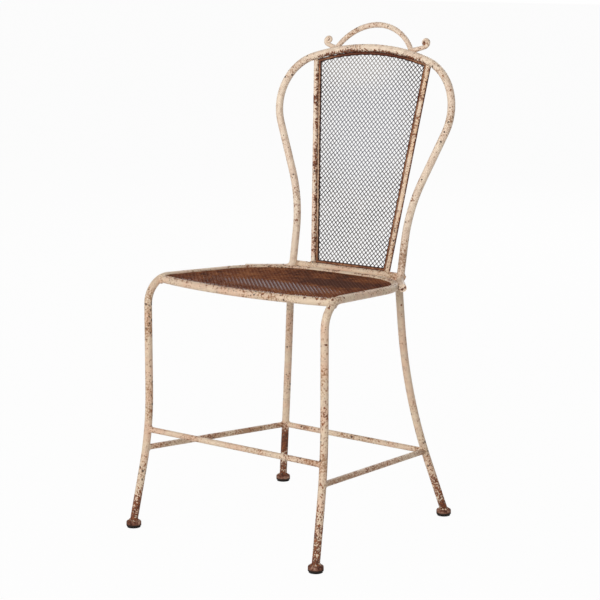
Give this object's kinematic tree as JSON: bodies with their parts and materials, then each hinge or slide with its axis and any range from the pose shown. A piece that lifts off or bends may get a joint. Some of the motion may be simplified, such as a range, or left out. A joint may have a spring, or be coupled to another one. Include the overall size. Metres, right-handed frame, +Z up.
{
  "type": "iron garden chair",
  "caption": "Armless garden chair of bent round iron bar, with a balloon-shaped back, scrolled crest, wire mesh in seat and back, and low stretchers.",
  "frame": {"origin": "on the floor, under the middle of the chair's box", "axes": "+Z up, -Y the way the sitter faces, +X to the right seen from the front"},
  "size_m": [0.445, 0.4772, 0.9012],
  "materials": {
    "painted_iron": "old cream paint, chipped, with rust specks",
    "rusty_strip": "rust brown",
    "wire_mesh": "worn paint over brown rust",
    "rusty_foot": "rusted",
    "black_pad": "dull black"
  },
  "bodies": {
    "root": {"back_hoop": "painted_iron", "crest": "painted_iron", "left_stile": "painted_iron", "right_stile": "painted_iron", "back_bottom_rail": "painted_iron", "seat_front_rail": "painted_iron", "front_left_leg": "painted_iron", "front_right_leg": "painted_iron", "seat_rear_bar": "painted_iron", "rear_left_leg": "painted_iron", "rear_right_leg": "painted_iron", "front_stretcher": "painted_iron", "rear_stretcher": "painted_iron", "left_stretcher": "painted_iron", "right_stretcher": "painted_iron", "back_mesh_edging": "rusty_strip", "back_mesh": "wire_mesh", "seat_mesh": "wire_mesh", "front_left_foot": "rusty_foot", "front_right_foot": "rusty_foot", "rear_left_foot": "rusty_foot", "rear_right_foot": "rusty_foot", "front_left_pad": "black_pad", "front_right_pad": "black_pad", "rear_left_pad": "black_pad", "rear_right_pad": "black_pad"}
  },
  "joints": []
}
